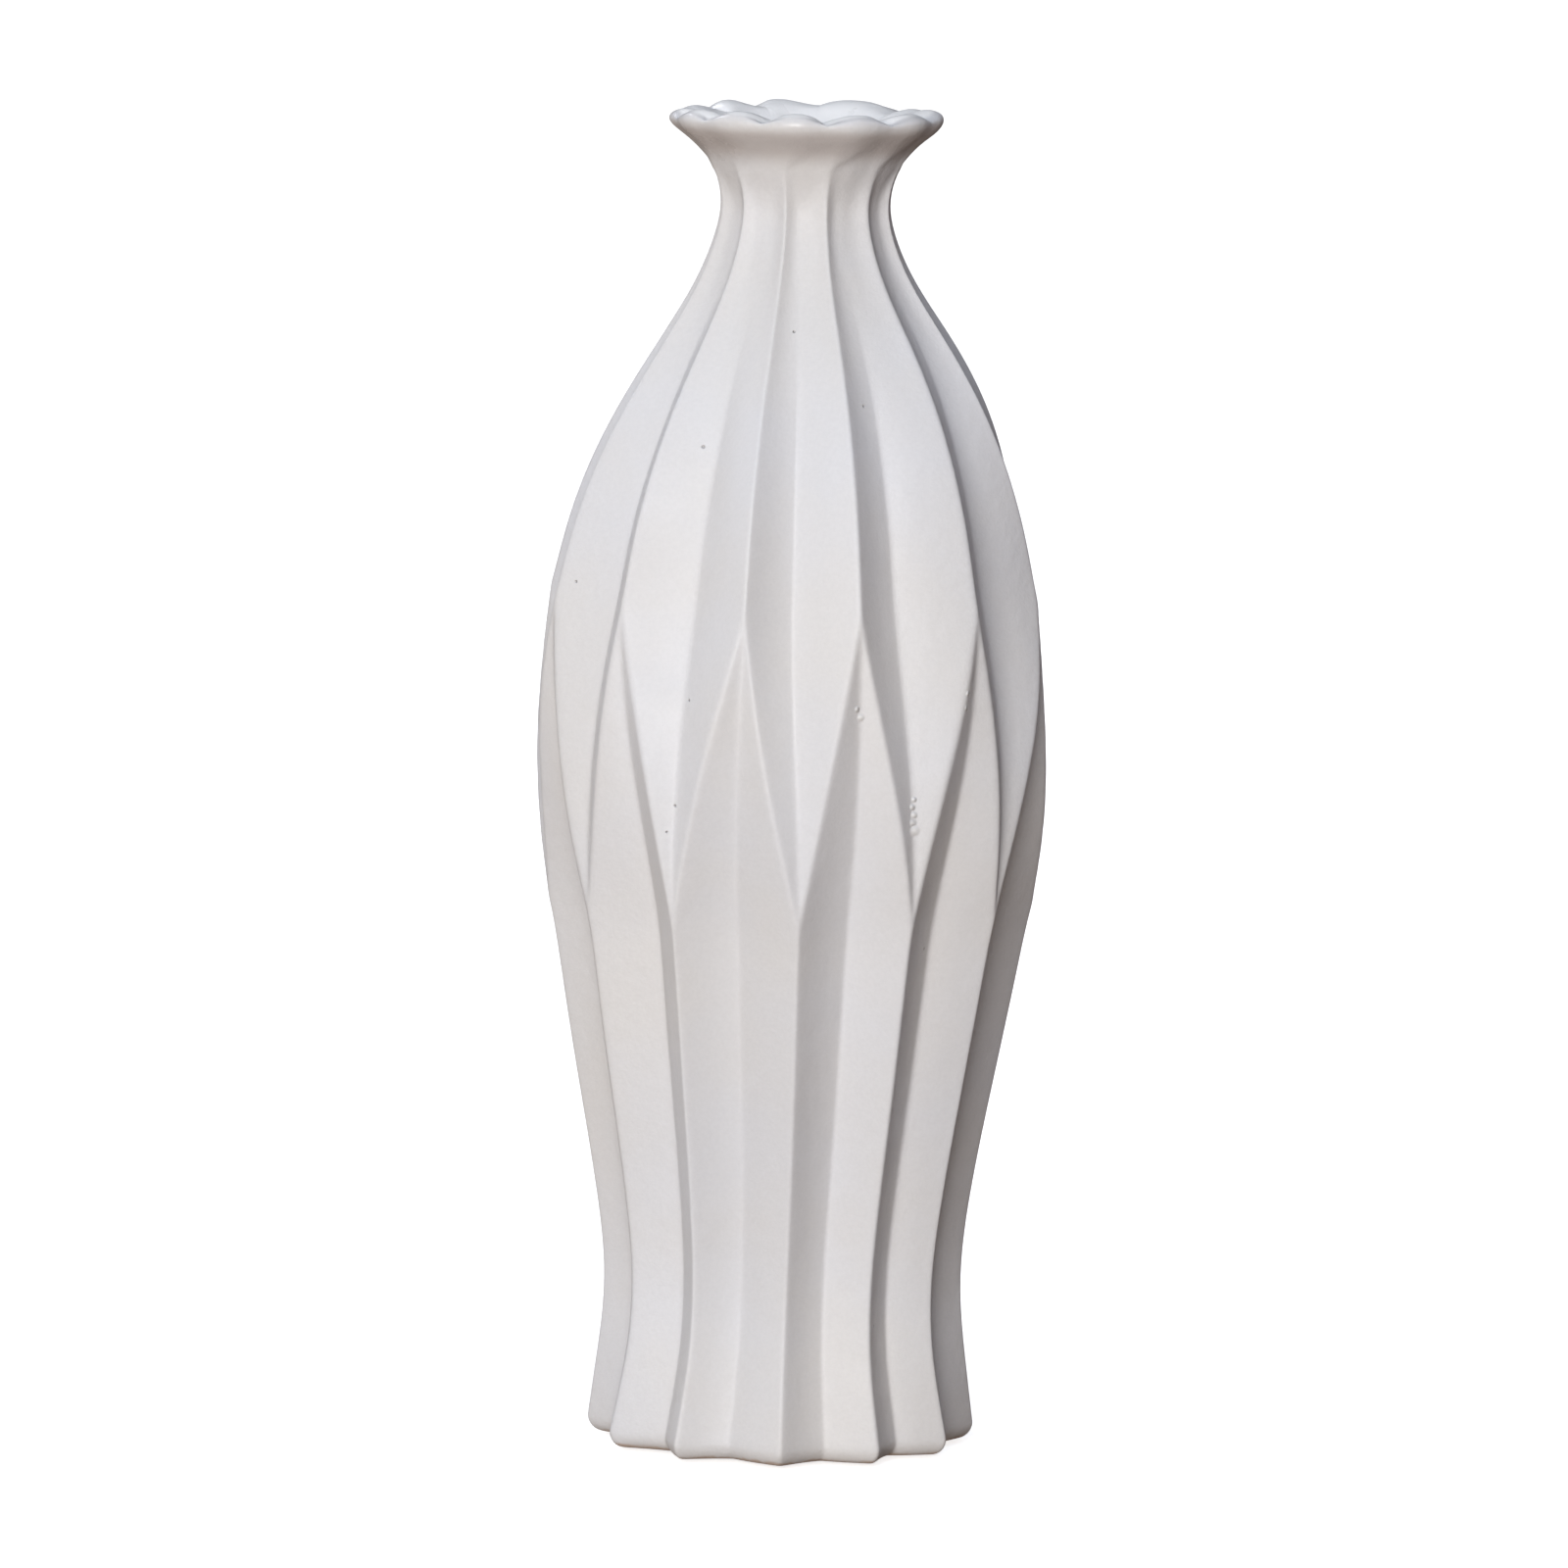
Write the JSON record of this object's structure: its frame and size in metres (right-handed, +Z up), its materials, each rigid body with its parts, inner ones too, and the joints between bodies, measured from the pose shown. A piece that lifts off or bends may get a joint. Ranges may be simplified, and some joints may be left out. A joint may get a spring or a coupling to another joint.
{
  "type": "bud vase",
  "caption": "Tall white glazed ceramic bud vase with a pleated body, a zigzag change of fold at the belly, a narrow fluted neck and a flared scalloped lip.",
  "frame": {"origin": "centre of the footprint, on the surface that the pads stand on", "axes": "+Z up along the vase's axis; -Y towards the front; +X to the right seen from the front"},
  "size_m": [0.0808, 0.0808, 0.21],
  "materials": {
    "body_glaze": "satin off-white glaze, cooler above and warmer below, with a few pinholes",
    "lip_glaze": "satin off-white glaze, smoother and a little glossier, thin on the notches",
    "bare_biscuit": "matt bare fired clay",
    "pad_rubber": "matt dark grey"
  },
  "bodies": {
    "root": {"pleated_body": "body_glaze", "scalloped_lip": "lip_glaze", "base_plate": "bare_biscuit", "foot_pad_1": "pad_rubber", "foot_pad_2": "pad_rubber", "foot_pad_3": "pad_rubber", "foot_pad_4": "pad_rubber"}
  },
  "joints": []
}
